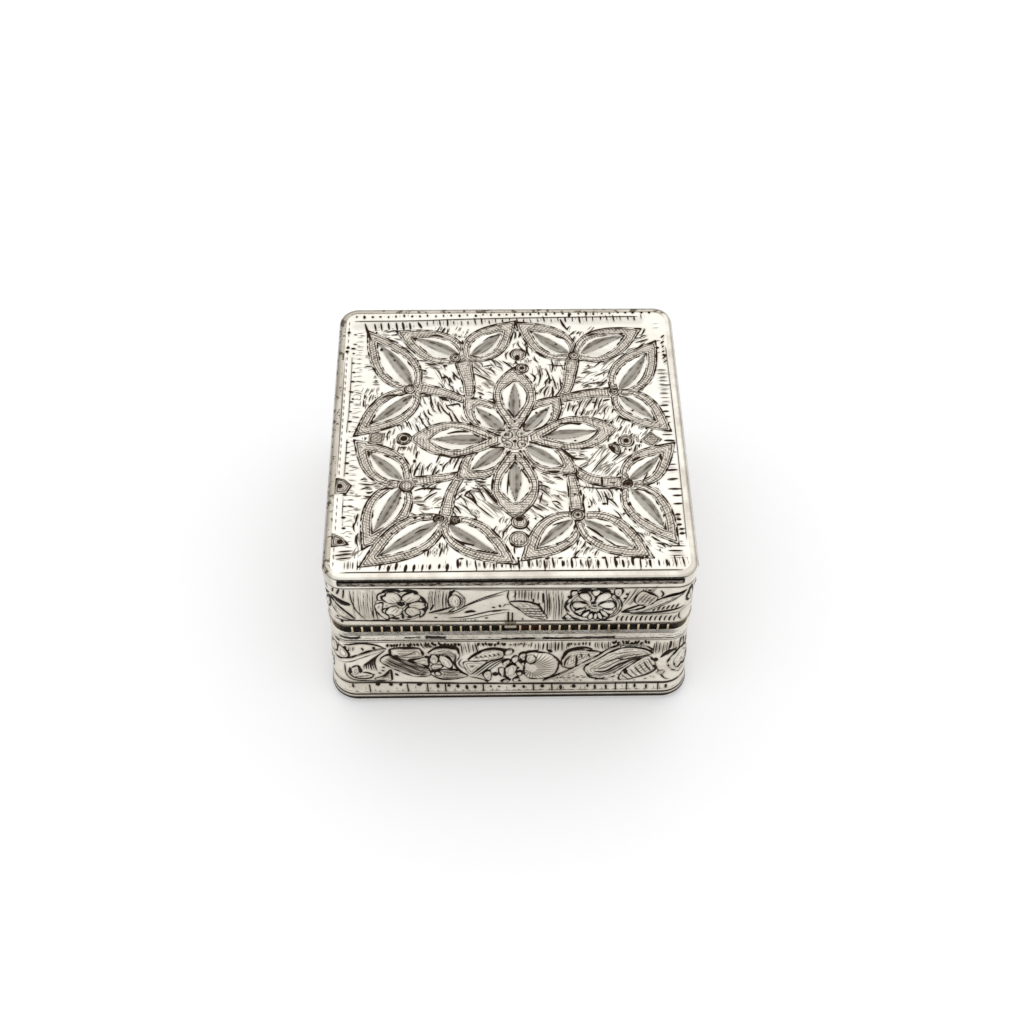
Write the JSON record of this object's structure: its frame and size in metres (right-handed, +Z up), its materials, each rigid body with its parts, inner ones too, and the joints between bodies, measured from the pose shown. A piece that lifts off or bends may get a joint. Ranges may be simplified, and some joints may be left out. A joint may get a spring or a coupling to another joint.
{
  "type": "stamp box",
  "caption": "Square engraved silver stamp box with a hinged lid, a reeded collar between lid and base, and two compartments with curved ramps inside.",
  "frame": {"origin": "middle of the underside of the bottom plate, on the surface the box stands on", "axes": "+Z up, +X to the right as seen from the front, -Y towards the front with the thumb point, hinge at +Y"},
  "size_m": [0.0522, 0.0522, 0.03],
  "materials": {
    "silver": "polished silver, worn, with dark lines in its corners",
    "engraved_silver": "hand engraved silver with oxidised lines and stippled bands",
    "tarnished_silver": "reeded silver, dark with tarnish between the reeds",
    "gilt": "silver washed with gold, satin"
  },
  "bodies": {
    "base": {"base_plate": "silver", "foot_moulding": "silver", "base_walls": "engraved_silver", "mouth_moulding": "silver", "lining": "gilt", "reeded_collar": "tarnished_silver", "partition": "gilt", "left_ramp": "gilt", "right_ramp": "gilt", "base_knuckles": "silver", "hinge_pin": "silver"},
    "lid": {"lid_plate": "engraved_silver", "lid_rim": "silver", "lid_walls": "engraved_silver", "lid_edge_wire": "silver", "thumb_point": "silver", "lid_knuckles": "silver"}
  },
  "joints": [
    {"name": "lid_hinge", "type": "hinge", "parent": "base", "child": "lid", "pos_m": [0, 0.0247, 0.01783], "axis": [-1, 0, 0], "range_deg": [0, 105]}
  ]
}
